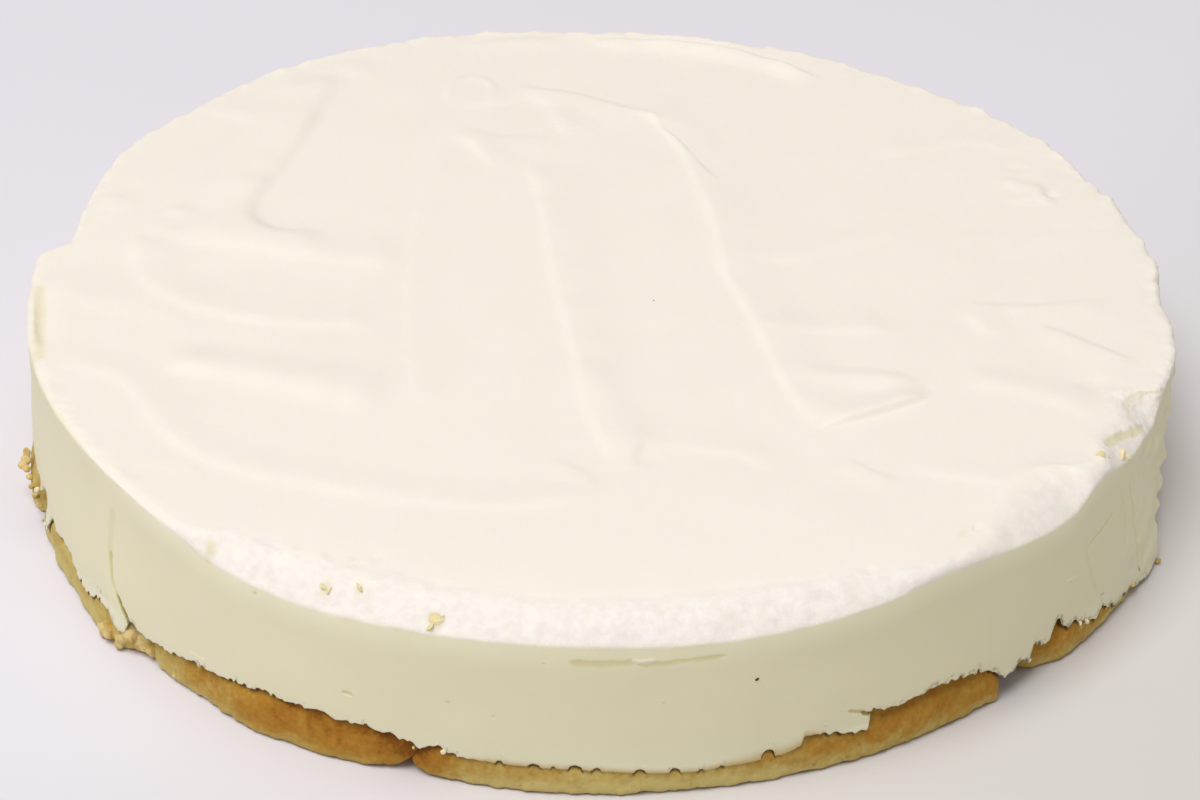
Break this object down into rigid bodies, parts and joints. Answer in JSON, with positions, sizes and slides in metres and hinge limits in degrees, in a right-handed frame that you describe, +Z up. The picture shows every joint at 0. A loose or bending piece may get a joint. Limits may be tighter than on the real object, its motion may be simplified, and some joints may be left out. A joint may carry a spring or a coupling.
{
  "type": "lemon mousse cake",
  "caption": "Round cake: a deep, smooth-walled layer of lemon mousse with a knife-spread top on a base of sponge fingers.",
  "frame": {"origin": "middle of the underside, where the cake rests", "axes": "+Z up through the cake, -Y towards its front"},
  "size_m": [0.2612, 0.2612, 0.0441],
  "materials": {
    "mousse": "soft satin",
    "sponge": "matt"
  },
  "bodies": {
    "root": {"mousse": "mousse", "sponge_edge_back": "sponge", "sponge_edge_back_left": "sponge", "sponge_edge_back_right": "sponge", "sponge_edge_front": "sponge", "sponge_edge_front_left": "sponge", "sponge_edge_front_left_stub": "sponge", "sponge_edge_left": "sponge", "sponge_edge_right": "sponge", "sponge_middle_1_left": "sponge", "sponge_middle_1_right": "sponge", "sponge_middle_2_left": "sponge", "sponge_middle_2_right": "sponge", "sponge_middle_3_left": "sponge", "sponge_middle_3_right": "sponge", "sponge_middle_4_left": "sponge", "sponge_middle_4_right": "sponge", "sponge_middle_5_left": "sponge", "sponge_middle_5_right": "sponge", "sponge_middle_6_left": "sponge", "sponge_middle_6_right": "sponge"}
  },
  "joints": []
}
